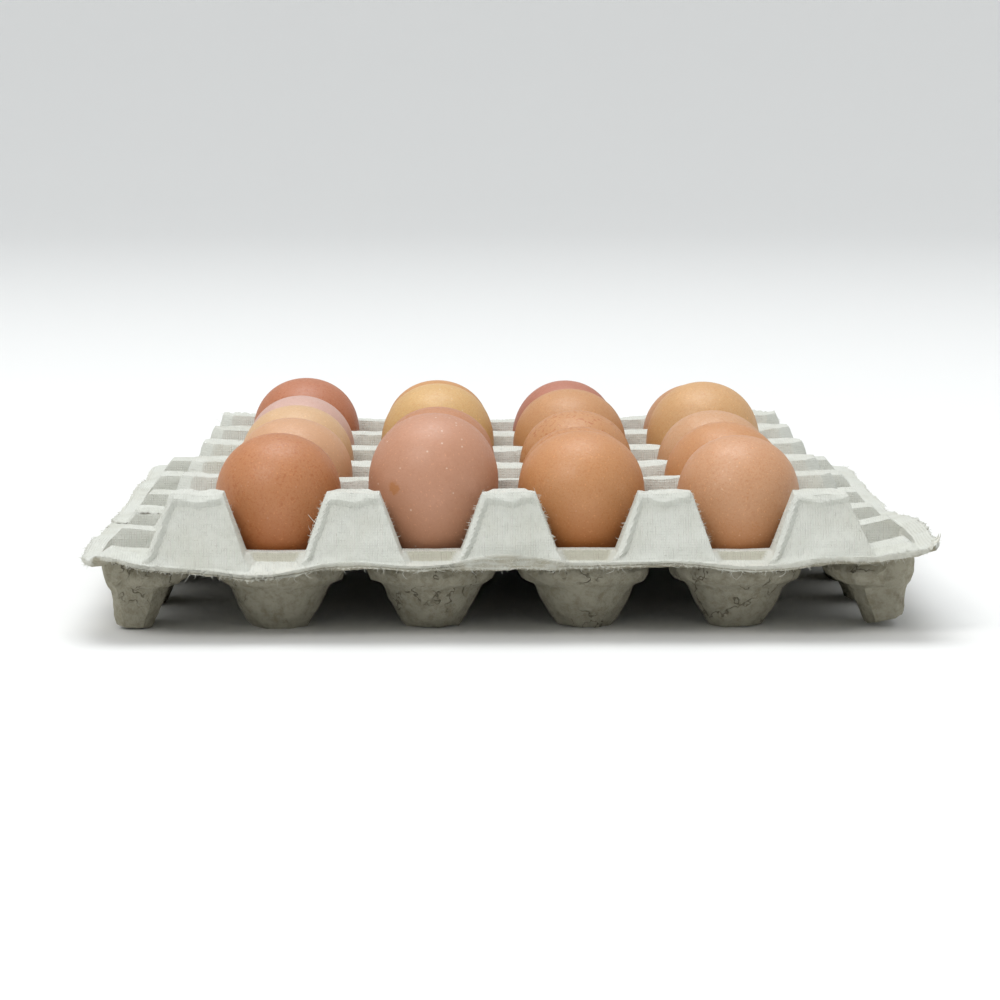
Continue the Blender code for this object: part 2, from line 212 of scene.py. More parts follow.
def newGroup(name, inputs, outputs):
    group = bpy.data.node_groups.new(name, "ShaderNodeTree")
    for title, kind, value in inputs:
        socket = group.interface.new_socket(title, in_out="INPUT", socket_type=kind)
        if value is not None:
            socket.default_value = value
    for title, kind in outputs:
        group.interface.new_socket(title, in_out="OUTPUT", socket_type=kind)
    tools = Nodes(group)
    return group, tools, tools.add("NodeGroupInput").outputs, tools.add("NodeGroupOutput").inputs


# ---------------------------------------------------------------- the pulp tray

tray = {
    "postTop": 0.0522, "rim": 0.0268, "rowRidge": 0.0325, "rimEdge": 2.75, "root": 2.70,
    "faceStep": 0.00092,     # spacing of the points on the rim and on the front and back faces
    "fineStep": 0.0014,     # on the rest of the upper side
    "footStep": 0.0018,     # on the outside of the outer feet
    "hiddenStep": 0.0034,   # where eggs or other feet hide the pulp
    "roundings": 1,
    "thickness": 0.0022,
    "softness": 0.22,
    "creaseAngle": 34,      # degrees, above which a fold is crisp         # passes that round the creases
    "waves": ((0.024, 0.00050), (0.0075, 0.00022)),   # uneven surface: size and height
    "roughWaves": ((0.0090, 0.00045), (0.0035, 0.00035)),  # more of it on the underside
    "borderWidth": 0.0026,  # the rolled border at the left and top of a post's face
    "beadRise": 0.0009,
    "grooveDepth": 0.0010,
    "panelDepth": 0.0007,
    "beadSag": 0.0013,      # the border at the top hangs lower in its middle
    "ledge": 0.0011,        # the feet are this much slimmer below their ledge
    "ledgeZ": 0.0156,
    "panel": (0.0235, 0.0165, 0.0062),   # on the outer feet: top, bottom, half the width
    "shoulder": 0.0023,     # and this much wider above it
    # height of the front rim above its even line: pitches from the middle, millimetres
    "frontRim": ((-2.75, 2.0), (-2.5, 2.2), (-2.3, 0.0), (-1.95, -0.8), (-1.62, -3.2), (-1.42, -1.8),
                 (-1.2, 1.2), (-0.95, 1.8), (-0.6, 0.2), (-0.35, 1.2), (0.0, 1.5), (0.4, 1.2), (0.8, 1.8),
                 (1.1, 2.4), (1.35, 0.6), (1.6, -0.4), (1.8, 0.6), (2.0, 2.6), (2.4, 2.2), (2.75, 0.8)),
    "rimWave": 0.0012,      # the same on the other sides, where it is irregular
    "lip": (0.0, 0.46, 0.0030),   # the rim turns up in the middle of the front: place, reach, height
    "ragged": 0.0003,       # how far the torn edge wanders
    "dents": 0.0011,        # depth of the dents in the posts' tops
    "frontWalls": ((-2.2, -2.0), (-1.5, -2.6), (-0.5, -2.2), (0.5, -2.0), (1.5, -2.8), (2.2, -1.5)),   # pitch, mm
    "frontPosts": -0.0013,
    # how far each low wall stands behind the posts' faces, from its crest to its foot, in pitches
    "setBack": ((2.39, 0.0), (2.585, 0.074), (2.70, 0.160), (2.71, 0.160), (2.752, 0.0)),
    "thinnest": (0.0012, 0.0004),   # the furthest that relief may sink into the upper side and the underside
    "cornerTrim": (0.0050, 0.40),   # the left front corner is worn away: by how much, and over how many pitches
    "bent": 0.0014,         # how far the strip in front of the crack hangs down
    "tearReach": 0.012,
    "tear": ((-2.72, -0.585), (-2.20, -0.640), 0.0026, 0.0013),   # a crack across the left margin: ends, depth, width
}


def smoothStep(value, low, high):
    t = np.clip((value - low) / (high - low), 0, 1)
    return t * t * (3 - 2 * t)


def joinedPanels(source):
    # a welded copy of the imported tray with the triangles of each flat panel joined
    work = bmesh.new()
    work.from_mesh(source.data)
    bmesh.ops.remove_doubles(work, verts=work.verts, dist=1e-5)
    bmesh.ops.dissolve_limit(work, angle_limit=math.radians(1.5), verts=work.verts, edges=work.edges)
    work.normal_update()
    return work


def nearTear(place):
    start, end = (np.array(p) * pitch for p in tray["tear"][:2])
    run = end - start
    along = np.clip(((place[..., :2] - start) @ run) / (run @ run), 0, 1)
    return place[..., :2] - start - along[..., None] * run


def spacingOf(face):
    middle = np.array(face.calc_center_median())
    if np.linalg.norm(nearTear(middle)) < tray["tearReach"] and middle[2] > tray["rim"]:
        return tray["faceStep"]
    middle = face.calc_center_median()
    x, y = abs(middle.x) / pitch, abs(middle.y) / pitch
    if max(x, y) > 2.735 and abs(face.normal.z) < 0.9:
        return tray["faceStep"]
    if face.normal.z < -0.05:
        return tray["footStep"] if max(x, y) > 1.75 else tray["hiddenStep"]
    if min(abs(vert.co.y) for vert in face.verts) > 2.24 * pitch and middle.z > 0.024:
        return tray["faceStep"]
    return tray["hiddenStep"] if middle.z < 0.022 and x < 2 else tray["fineStep"]


def fillPanel(corners, normal, step):
    # a flat panel's triangles: its own outline, and even points inside it
    across = (corners[1] - corners[0]).normalized()
    up = normal.cross(across).normalized()
    origin = sum(corners, Vector()) / len(corners)
    flat = [((c - origin).dot(across), (c - origin).dot(up)) for c in corners]
    loop = np.array(flat)
    low, high = loop.min(0), loop.max(0)
    rows = np.arange(low[1] + step * 0.3, high[1], step * 0.866)
    inside = []
    if len(rows) and high[0] - low[0] > step * 0.6:
        points = []
        for k, v in enumerate(rows):
            us = np.arange(low[0] + step * (0.25 if k % 2 else 0.75), high[0], step)
            points.append(np.column_stack([us, np.full(len(us), v)]))
        points = np.vstack(points)
        a, b = loop, np.roll(loop, -1, 0)
        crossing = (a[None, :, 1] > points[:, None, 1]) != (b[None, :, 1] > points[:, None, 1])
        rise = np.where(np.abs(b[:, 1] - a[:, 1]) < 1e-12, 1e-12, b[:, 1] - a[:, 1])
        at = a[None, :, 0] + (points[:, None, 1] - a[None, :, 1]) / rise * (b - a)[None, :, 0]
        odd = (crossing & (points[:, None, 0] < at)).sum(1) % 2 == 1
        run = b - a
        along = ((points[:, None] - a) * run).sum(2) / np.maximum((run * run).sum(1), 1e-15)
        near = a + np.clip(along, 0, 1)[..., None] * run
        gap = np.sqrt(((points[:, None] - near) ** 2).sum(2)).min(1)
        inside = points[odd & (gap > step * 0.5)]
    every = flat + [tuple(p) for p in inside]
    made = delaunay_2d_cdt([Vector(p) for p in every], [], [list(range(len(flat)))], 1, 1e-9)
    places = [origin + across * float(p[0]) + up * float(p[1]) for p in every[len(flat):]]
    triangles = []
    for face in made[2]:
        ids = [made[3][i][0] if made[3][i] else -1 for i in face]
        if -1 not in ids:
            triangles.append(ids)
    return places, triangles


def refinedSheet(source):
    work = joinedPanels(source)
    points = [vert.co.copy() for vert in work.verts]
    work.verts.index_update()
    cuts = {}
    for edge in work.edges:
        step = min([spacingOf(face) for face in edge.link_faces])
        count = max(1, round(edge.calc_length() / step))
        start, end = edge.verts
        ids = [start.index]
        for k in range(1, count):
            points.append(start.co.lerp(end.co, k / count))
            ids.append(len(points) - 1)
        cuts[edge] = ids + [end.index]
    triangles = []
    for face in work.faces:
        loop = []
        for corner in face.loops:
            ids = cuts[corner.edge]
            if ids[0] != corner.vert.index:
                ids = ids[::-1]
            loop += ids[:-1]
        places, found = fillPanel([points[i] for i in loop], face.normal, spacingOf(face))
        base = len(points)
        points += places
        names = loop + list(range(base, base + len(places)))
        triangles += [[names[i] for i in ids] for ids in found]
    work.free()
    return np.array([tuple(p) for p in points]), np.array(triangles)


def roundedCups(points):
    # the cups' flat facets become round
    x, y, z = points.T
    column = np.clip(np.round(x / pitch - 0.5) + 0.5, -1.5, 1.5) * pitch
    row = np.clip(np.round(y / pitch), -2, 2) * pitch
    dx, dy = x - column, y - row
    turn = np.arctan2(dy, dx)
    part = (turn + math.pi / 12) % (math.pi / 6) - math.pi / 12
    reach = np.hypot(dx, dy) / pitch
    share = (1 - smoothStep(z, 0.019, 0.030)) * (1 - smoothStep(reach, 0.40, 0.47)) * smoothStep(reach, 0.10, 0.19)
    grow = 1 + (np.cos(part) / math.cos(math.pi / 12) - 1) * share
    return np.column_stack([column + dx * grow, row + dy * grow, z])


def relaxed(points, triangles, passes, share=0.5):
    sides = np.vstack([triangles[:, [0, 1]], triangles[:, [1, 2]], triangles[:, [2, 0]]])
    sides = np.unique(np.sort(sides, 1), axis=0)
    count = np.bincount(sides.ravel(), minlength=len(points))[:, None]
    for _ in range(passes):
        total = np.zeros_like(points)
        for axis in range(3):
            total[:, axis] = (np.bincount(sides[:, 0], points[sides[:, 1], axis], len(points))
                              + np.bincount(sides[:, 1], points[sides[:, 0], axis], len(points)))
        points = points + (total / np.maximum(count, 1) - points) * share
    return points


def normalsOf(points, triangles):
    a, b, c = (points[triangles[:, k]] for k in range(3))
    face = np.cross(b - a, c - a)
    total = np.zeros_like(points)
    for k in range(3):
        for axis in range(3):
            total[:, axis] += np.bincount(triangles[:, k], face[:, axis], len(points))
    return total / np.maximum(np.linalg.norm(total, axis=1), 1e-12)[:, None]


def bell(value):
    return np.exp(-value * value)


def waves(points, size, height, seed):
    shift = Vector((seed * 7.3, seed * 3.1, seed * 1.7))
    return np.array([noise.noise(Vector(p) / size + shift) for p in points]) * height * 1.6


def faceRelief(points, normals, wobble):
    # the rolled border and the sunk panel on the outer face of each front and back post
    x, y, z = points.T
    side = np.sign(y)
    column = np.clip(np.round(x / pitch), -2, 2) * pitch
    t = (z - tray["rim"]) / (tray["postTop"] - tray["rim"])
    half = (0.345 - 0.175 * t) * pitch
    fromLeft = half - (x - column) * side
    fromTop = tray["postTop"] - z - tray["beadSag"] * bell((x - column) / 0.0055)
    gap = np.minimum(fromLeft, fromTop) + wobble * 0.0006
    width = tray["borderWidth"]
    relief = (tray["beadRise"] * bell((gap - width * 0.5) / (width * 0.45))
              - tray["grooveDepth"] * bell((gap - width * 1.2) / (width * 0.28))
              - tray["panelDepth"] * smoothStep(gap, width, width * 1.6) * (1 - smoothStep(gap, width * 4, width * 7)))
    inFace = (np.abs(y) > 2.5 * pitch) & (half - np.abs(x - column) > -0.0004) & (normals[:, 2] > -0.2)
    inFace = inFace * smoothStep(normals[:, 1] * side, 0.25, 0.6)
    return relief * inFace * smoothStep(z, tray["rim"] + 0.0006, tray["rim"] + 0.0035)


def ribRelief(points, normals):
    # the double rib with its fold, on the outer face of each side post
    x, y, z = points.T
    row = np.clip(np.round(y / pitch - 0.5) + 0.5, -1.5, 1.5) * pitch
    away = np.abs(y - row)
    face = smoothStep(np.abs(x), 2.15 * pitch, 2.19 * pitch) * (1 - smoothStep(np.abs(x), 2.52 * pitch, 2.60 * pitch))
    upper = smoothStep(normals[:, 2], 0.0, 0.2)
    return face * upper * (0.0006 * bell((away - 0.0030) / 0.0014) - 0.0010 * bell(away / 0.0009))


def footRelief(points, normals, under):
    # on each outer foot a shallow panel under the rim, with a fold line below it and one down the middle
    dx, dy, column = cupOffset(points)
    z = points[:, 2]
    front = np.where(np.abs(points[:, 1]) > 2.2 * pitch, dx, np.where(np.abs(column) > 2.3 * pitch, dy, 1.0))
    across = np.abs(front + 0.0010 * np.sin(z * 900))
    high, low, half = tray["panel"]
    inside = smoothStep(half - across, 0.0, 0.0008) * smoothStep(z, low, low + 0.0008) * (1 - smoothStep(z, high, high + 0.001))
    fold = bell((z - low + 0.0005 * np.sin(front * 800)) / 0.0006) * (1 - smoothStep(across, half, half + 0.003))
    seam = bell(across / 0.0007) * (1 - smoothStep(z, low - 0.001, low)) * smoothStep(z, 0.004, 0.008)
    steep = 1 - smoothStep(np.abs(normals[:, 2]), 0.55, 0.8)
    return under * steep * (0.0006 * inside - 0.0007 * fold - 0.0004 * seam)


def rimLift(points, level):
    # the rim's height: named dips at the front, irregular waves on the other sides
    x, y, z = points.T
    px, py = x / pitch, y / pitch
    stops = np.array(tray["frontRim"])
    fine = np.interp(px, stops[:, 0], stops[:, 1]) / 1000
    soft = (np.interp(px - 0.1, stops[:, 0], stops[:, 1]) + np.interp(px + 0.1, stops[:, 0], stops[:, 1])) / 2000
    front = smoothStep(-py, 2.60, 2.735)
    others = np.clip(smoothStep(py, 2.60, 2.735) + smoothStep(np.abs(px), 2.60, 2.735), 0, 1) * (1 - front)
    wave = waves(points * np.array([1, 1, 0]), 0.034, tray["rimWave"], 5)
    lift = front * (fine + soft) / 2 + others * wave
    middle, reach, height = tray["lip"]
    lip = np.cos(np.clip((px - middle) / reach, -1, 1) * math.pi / 2) ** 2 * height
    return lift + lip * level * smoothStep(-py, 2.695, 2.74)


def slimFeet(points, under):
    # below its ledge each foot is slimmer on the outside
    x, y, z = points.T
    dx, dy, column = cupOffset(points)
    reach = np.maximum(np.hypot(dx, dy), 1e-6)
    low = 1 - smoothStep(z, tray["ledgeZ"] - 0.0006, tray["ledgeZ"] + 0.0004)
    bulge = smoothStep(z, tray["ledgeZ"] - 0.0002, tray["ledgeZ"] + 0.0012) * (1 - smoothStep(z, 0.0205, 0.0242))
    margin = np.abs(column) > 2 * pitch
    wide = tray["shoulder"] * np.where(margin, np.where(dx * column < 0, 1.5, 0.0), 1.0)
    move = under * (wide * bulge - tray["ledge"] * low) * smoothStep(reach, 0.004, 0.010)
    return np.column_stack([x + dx / reach * move, y + dy / reach * move, z])


def cupOffset(points):
    # from the middle of the nearest cup, or of the nearest pocket in a margin
    x, y = points[:, 0], points[:, 1]
    row = np.clip(np.round(y / pitch), -2, 2) * pitch
    column = np.clip(np.round(x / pitch - 0.5) + 0.5, -2.5, 2.5) * pitch
    column = np.where(np.abs(column) > 2 * pitch, np.sign(column) * 2.44 * pitch, column)
    return x - column, y - row, column


def underside(points, normals):
    # 1 on the outer faces of the feet and on whatever faces down
    dx, dy, _ = cupOffset(points)
    outward = (normals[:, 0] * dx + normals[:, 1] * dy) / np.maximum(np.hypot(dx, dy), 1e-6)
    foot = (points[:, 2] < 0.0235) & (outward > 0.3)
    return ((normals[:, 2] < -0.02) | foot).astype(float)


def betweenPosts(points, under, start):
    # 1 in the gaps between the posts at the front and the back
    x, y, z = points.T
    z = z + under * tray["thickness"]
    away = np.abs(x - np.clip(np.round(x / pitch), -2, 2) * pitch) / pitch
    flank = 0.345 - 0.175 * np.clip((z - tray["rim"]) / (tray["postTop"] - tray["rim"]), 0, 1)
    return smoothStep(away - flank, start, start + 0.034) * (np.abs(x) < 2.05 * pitch)


def steepWalls(points, under):
    # the low walls between the posts stand steeper than the posts' faces, behind a wider flange
    y = points[:, 1]
    stops = np.array(tray["setBack"])
    moved = points.copy()
    shift = np.interp(np.abs(y) / pitch, stops[:, 0], stops[:, 1]) * pitch
    moved[:, 1] -= np.sign(y) * betweenPosts(points, under, -0.004) * shift
    return moved


def settledFront(points, level):
    # at the front the posts and the low walls between them stand a little lower
    x, y, z = points.T
    front = smoothStep(-y / pitch, 2.15, 2.40)
    share = np.clip((z - tray["rim"]) / (tray["rowRidge"] - tray["rim"]), 0, 1)
    above = np.clip((z - tray["rowRidge"]) / (tray["postTop"] - tray["rowRidge"]), 0, 1)
    stops = np.array(tray["frontWalls"])
    wall = np.interp(x / pitch, stops[:, 0], stops[:, 1]) / 1000
    return front * share * (1 - above) * wall + front * above * tray["frontPosts"]


def wornTray(points, triangles, normals):
    under = underside(points, normals)
    edgeOut = np.maximum(np.abs(points[:, 0]), np.abs(points[:, 1])) / pitch
    rimFace = (edgeOut > 2.735) & (np.abs(normals[:, 2]) < 0.9)
    level = np.clip((points[:, 2] - (tray["rim"] - 0.0027)) / 0.0022, 0, 1)
    level = np.where(edgeOut > 2.6, np.where(points[:, 2] > 0.030, 1, level), 1 - under)
    points = slimFeet(roundedCups(points), under)
    points = steepWalls(points, under)
    sharp = points.copy()
    points = relaxed(points, triangles, tray["roundings"], tray["softness"])
    keep = 0.6 * smoothStep(edgeOut, 2.72, 2.75)[:, None]
    points = points * (1 - keep) + sharp * keep
    normals = normalsOf(points, triangles)
    wobble = waves(points, 0.006, 0.6, 4)
    offset = faceRelief(points, normals, wobble) + ribRelief(points, normals)
    offset += footRelief(points, normals, under)
    for seed, (size, height) in enumerate(tray["waves"]):
        offset += waves(points, size, height, seed + 10)
    for seed, (size, height) in enumerate(tray["roughWaves"]):
        offset += under * waves(points, size, height, seed + 20)
    high = smoothStep(points[:, 2], tray["postTop"] - 0.0075, tray["postTop"] - 0.001)
    dents = np.minimum(waves(points, 0.0085, 1.0, 7) + 0.15, 0) * tray["dents"] * high
    ragged = smoothStep(edgeOut, 2.72, 2.75) * (waves(points * np.array([1, 1, 0.6]), 0.0021, tray["ragged"], 8)
                                                + waves(points * np.array([1, 1, 0]), 0.009, tray["ragged"], 9))
    ragged -= rimFace * 0.0006 * bell((level - 0.42) / 0.22)   # the fold between the two layers of the edge
    lift = rimLift(points, level) + settledFront(points, level)
    apart = nearTear(points)
    gap = np.linalg.norm(apart, axis=1) + np.abs(waves(points, 0.003, 0.0008, 12))
    tear = bell(gap / tray["tear"][3]) * (1 - under)
    px, py = points[:, 0] / pitch, points[:, 1] / pitch
    bent = smoothStep(-px, 2.12, 2.55) * smoothStep(-apart[:, 1], -0.0003, 0.0009) * smoothStep(py, -1.9, -0.9)
    lift = lift - bent * tray["bent"]
    offset = offset - tear * tray["tear"][2]
    sunk = np.where(under > 0.5, tray["thinnest"][1], tray["thinnest"][0])
    offset = np.maximum(offset, -sunk)
    thin = betweenPosts(points, under, -0.04) * smoothStep(np.abs(points[:, 1]) / pitch, 2.30, 2.38)
    thin = thin * smoothStep(points[:, 2], 0.0235, 0.0250)
    offset = offset * (1 - thin) + np.clip(offset, -0.0001, 0.0001) * thin
    points = points + normals * offset[:, None]
    points[:, 0] += np.where(np.abs(points[:, 0]) > 2.7 * pitch, np.sign(points[:, 0]) * ragged, 0)
    points[:, 1] += np.where(np.abs(points[:, 1]) > 2.7 * pitch, np.sign(points[:, 1]) * ragged, 0)
    trim, reach = tray["cornerTrim"]
    nearCorner = np.hypot(points[:, 0] / pitch + 2.75, points[:, 1] / pitch + 2.75)
    points[:, 0] += trim * (1 - smoothStep(nearCorner, 0, reach))
    points[:, 2] += lift + dents
    points[:, 2] = np.maximum(points[:, 2], 0.0)
    x, y, z = points.T
    # where the painted shade on the low walls' faces goes
    wall = betweenPosts(points, under, 0.0) * (1 - under) * smoothStep(np.abs(normals[:, 1]), 0.35, 0.65)
    wall = wall * (np.abs(y) < 2.62 * pitch) * (np.abs(y) > 2.44 * pitch) * (z > tray["rim"] - 0.002)
    middle, reach, _ = tray["lip"]
    lip = rimFace * (points[:, 1] < 0) * smoothStep(1 - np.abs(points[:, 0] / pitch - middle) / reach, 0.0, 0.5)
    return points, {"under": under, "rimFace": rimFace.astype(float), "level": level, "tear": tear, "lip": lip,
                    "wall": wall}


def meshFrom(name, points, triangles, masks=None):
    mesh = bpy.data.meshes.new(name)
    mesh.vertices.add(len(points))
    mesh.vertices.foreach_set("co", points.astype(np.float32).ravel())
    mesh.loops.add(triangles.size)
    mesh.loops.foreach_set("vertex_index", triangles.astype(np.int32).ravel())
    mesh.polygons.add(len(triangles))
    mesh.polygons.foreach_set("loop_start", np.arange(0, triangles.size, 3, dtype=np.int32))
    mesh.update()
    mesh.validate()
    mesh.shade_smooth()
    for title, values in (masks or {}).items():
        mesh.attributes.new(title, "FLOAT", "POINT").data.foreach_set("value", values.astype(np.float32))
    return mesh


def buildScreenWeave():
    # the print of the mould's wire screen: fine broken lines along the three axes
    group, nodes, given, out = newGroup(
        "screenWeave",
        [("Vector", "NodeSocketVector", None), ("Normal", "NodeSocketVector", None),
         ("Spacing", "NodeSocketFloat", 0.00085)],
        [("Height", "NodeSocketFloat")])
    vector = given["Vector"]
    split = nodes.add("ShaderNodeSeparateXYZ", {"Vector": vector}).outputs
    facing = nodes.add("ShaderNodeVectorMath", {0: given["Normal"]}, operation="ABSOLUTE").outputs[0]
    facing = nodes.add("ShaderNodeSeparateXYZ", {"Vector": facing}).outputs
    rate = nodes.sum(2 * math.pi, given["Spacing"], "DIVIDE")
    wander = nodes.sum(nodes.noise(vector, 260, 2), 1.3, "MULTIPLY")
    total = None
    for axis, weight in ((0, 1.0), (1, 1.0), (2, 0.35)):
        phase = nodes.sum(nodes.sum(split[axis], rate, "MULTIPLY"), wander)
        line = nodes.sum(phase, 0.0, "SINE")
        across = nodes.span(facing[axis], 0.45, 0.8, weight, 0.0)
        line = nodes.sum(line, across, "MULTIPLY")
        total = line if total is None else nodes.sum(total, line)
    broken = nodes.span(nodes.noise(vector, 420, 2, 0.6), 0.30, 0.65, 0.35, 1.0)
    nodes.put(out["Height"], nodes.sum(total, broken, "MULTIPLY"))
    return group


def buildPulpGrain():
    # matted fibres: short streaks that run every way, with small crumbs between them
    group, nodes, given, out = newGroup(
        "pulpGrain",
        [("Vector", "NodeSocketVector", None), ("Scale", "NodeSocketFloat", 1.0)],
        [("Height", "NodeSocketFloat"), ("Fibres", "NodeSocketFloat")])
    vector = nodes.add("ShaderNodeVectorMath", {0: given["Vector"]}, operation="SCALE")
    nodes.put(vector.inputs["Scale"], given["Scale"])
    vector = vector.outputs[0]
    streaks = None
    for stretch in ((1, 0.22, 0.5), (0.22, 1, 0.5), (0.5, 0.5, 0.22)):
        found = nodes.span(nodes.noise(vector, 1500, 2, 0.5, stretch), 0.52, 0.7)
        streaks = found if streaks is None else nodes.sum(streaks, found, "MAXIMUM")
    crumbs = nodes.noise(vector, 700, 4, 0.65)
    nodes.put(out["Height"], nodes.sum(nodes.sum(streaks, 0.35, "MULTIPLY"), crumbs))
    nodes.put(out["Fibres"], streaks)
    return group


screenWeave = buildScreenWeave()
pulpGrain = buildPulpGrain()

pulp = {
    "pale": (0.640, 0.650, 0.600),     # the screened upper side
    "cloud": (0.585, 0.590, 0.530),    # slow patches in it
    "wallShade": (0.500, 0.480, 0.395),   # painted shade on the steep low walls at the front and the back: a darker, warmer tone
    "under": (0.425, 0.400, 0.315),    # the rough underside: its own duller tone, made darker by painted shade
    "underDark": (0.285, 0.262, 0.190),
    "creaseShade": (0.150, 0.132, 0.092),
    "edge": (0.700, 0.700, 0.630),     # torn edges, where the fibres stand up
    # crumbs in the pulp, and the painted shade in the screen print's grooves
    "crumbAndShade": (0.330, 0.310, 0.240),
    "weaveDepth": 0.000075,
    "grainDepth": 0.00020,
    "roughDepth": 0.00150,
    "creaseDepth": 0.00090,
}


def pulpMaterial():
    made, nodes, shader = newMaterial("moulded_pulp")
    place = nodes.add("ShaderNodeTexCoord").outputs["Object"]
    under = nodes.add("ShaderNodeAttribute", attribute_name="under").outputs["Fac"]
    rimFace = nodes.add("ShaderNodeAttribute", attribute_name="rimFace").outputs["Fac"]
    level = nodes.add("ShaderNodeAttribute", attribute_name="level").outputs["Fac"]
    weave = nodes.add("ShaderNodeGroup", node_tree=screenWeave)
    nodes.put(weave.inputs["Vector"], place)
    nodes.put(weave.inputs["Normal"], nodes.add("ShaderNodeNewGeometry").outputs["Normal"])
    weave.inputs["Spacing"].default_value = 0.00088
    grain = nodes.add("ShaderNodeGroup", node_tree=pulpGrain)
    nodes.put(grain.inputs["Vector"], place)
    grain.inputs["Scale"].default_value = 1.0

    cloud = nodes.noise(place, 42, 4, 0.6)
    tone = nodes.blend(nodes.span(cloud, 0.4, 0.72), pulp["pale"], pulp["cloud"])
    # painted shade: the low lines of the screen print are painted a little darker
    tone = nodes.blend(nodes.span(weave.outputs["Height"], 0.0, -1.2, 0, 0.07), tone, pulp["crumbAndShade"])
    wall = nodes.add("ShaderNodeAttribute", attribute_name="wall").outputs["Fac"]
    # painted shade: the low walls' faces are painted darker and warmer
    tone = nodes.blend(nodes.sum(wall, 0.9, "MULTIPLY"), tone, pulp["wallShade"])
    rough = nodes.noise(place, 260, 7, 0.74)
    dirtAndShade = nodes.blend(nodes.span(rough, 0.30, 0.62), pulp["underDark"], pulp["under"])
    crease = nodes.noise(place, 95, 3, 0.6)
    crease = nodes.sum(nodes.sum(nodes.sum(crease, 0.5, "SUBTRACT"), 0.0, "ABSOLUTE"), 1.0, "MULTIPLY")
    crease = nodes.sum(nodes.span(crease, 0.016, 0.003), nodes.span(nodes.noise(place, 70, 2), 0.50, 0.60), "MULTIPLY")
    # painted shade: the cracks in the underside are painted dark
    dirtAndShade = nodes.blend(nodes.sum(crease, 0.75, "MULTIPLY"), dirtAndShade, pulp["creaseShade"])
    # the underside gets its mottled tone, painted darker as shade
    tone = nodes.blend(under, tone, dirtAndShade)
    tone = nodes.blend(nodes.sum(rimFace, 0.8, "MULTIPLY"), tone, pulp["edge"])
    # painted shade: a dark line along the fold between the two layers of the edge
    fold = nodes.sum(nodes.sum(nodes.sum(level, 0.42, "SUBTRACT"), 0.0, "ABSOLUTE"), 5.0, "MULTIPLY")
    fold = nodes.sum(nodes.sum(1.0, fold, "SUBTRACT"), rimFace, "MULTIPLY")
    tone = nodes.blend(nodes.span(fold, 0.1, 0.8, 0, 0.75), tone, pulp["underDark"])
    lip = nodes.add("ShaderNodeAttribute", attribute_name="lip").outputs["Fac"]
    layers = nodes.blend(nodes.span(nodes.noise(place, 500, 4, 0.7, (0.25, 1, 2.2)), 0.35, 0.65),
                         pulp["under"], pulp["cloud"])
    tone = nodes.blend(nodes.sum(lip, nodes.span(level, 1.0, 0.8), "MULTIPLY"), tone, layers)
    torn = nodes.add("ShaderNodeAttribute", attribute_name="tear").outputs["Fac"]
    # painted shade: the inside of the crack is painted nearly black
    tone = nodes.blend(nodes.span(torn, 0.45, 0.95, 0, 0.85), tone, (0.09, 0.08, 0.06))
    specks = nodes.noise(place, 1100, 2, 0.5)
    tone = nodes.blend(nodes.span(specks, 0.70, 0.78, 0, 0.5), tone, pulp["crumbAndShade"])
    nodes.put(shader.inputs["Base Color"], tone)
    shader.inputs["Roughness"].default_value = 0.95
    shader.inputs["Specular IOR Level"].default_value = 0.2

    screened = nodes.sum(1.0, nodes.sum(under, rimFace, "MAXIMUM"), "SUBTRACT")
    lines = nodes.sum(nodes.sum(weave.outputs["Height"], pulp["weaveDepth"], "MULTIPLY"), screened, "MULTIPLY")
    matted = nodes.sum(grain.outputs["Height"], pulp["grainDepth"], "MULTIPLY")
    lumps = nodes.sum(nodes.sum(rough, pulp["roughDepth"], "MULTIPLY"), nodes.sum(1.0, screened, "SUBTRACT"), "MULTIPLY")
    cracks = nodes.sum(nodes.sum(crease, pulp["creaseDepth"], "MULTIPLY"), under, "MULTIPLY")
    height = nodes.sum(nodes.sum(nodes.sum(lines, matted), lumps), cracks, "SUBTRACT")
    bump = nodes.add("ShaderNodeBump", {"Height": height, "Strength": 1.0, "Distance": 1.0})
    nodes.put(shader.inputs["Normal"], bump.outputs[0])
    return made


def buildTray():
    points, triangles = refinedSheet(frame["nodes"]["tray"])
    points, masks = wornTray(points, triangles, normalsOf(points, triangles))
    mesh = meshFrom("pulp_tray", points, triangles, masks)
    piece = bpy.data.objects.new("pulp_tray", mesh)
    bpy.context.scene.collection.objects.link(piece)
    mesh.set_sharp_from_angle(angle=math.radians(tray["creaseAngle"]))
    mesh.materials.append(pulpMaterial())
    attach(piece, "root")
    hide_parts("tray")
    print("tray:", len(mesh.polygons), "triangles")
    return piece


trayPiece = buildTray()


# loose fibres along the torn edges, and shreds at the worn corner
fibres = {
    "seed": 11,
    "onRim": 1500, "onFrontRim": 1300, "onEdges": 900,
    "length": (0.0005, 0.0021),
    "longShare": 0.012, "longLength": (0.003, 0.0055),
    "radius": (0.00006, 0.00012),
    "bends": 5,
    "shreds": ((2.735, -2.69, 0.0055, 0.9, 0.5), (2.745, -2.60, 0.0042, 1.0, 0.2), (2.70, -2.735, 0.0035, 0.3, -0.9)),
    "colour": (0.700, 0.690, 0.620),
    # curled threads that hang from the front edge: place in pitches, length
    "threads": ((-0.66, 0.0042), (-0.52, 0.0060), (-0.47, 0.0048), (-0.38, 0.0035), (0.58, 0.0065), (0.66, 0.0045),
                (0.96, 0.0050), (1.02, 0.0035), (-1.30, 0.0040), (-1.95, 0.0040), (1.75, 0.0040)),
}


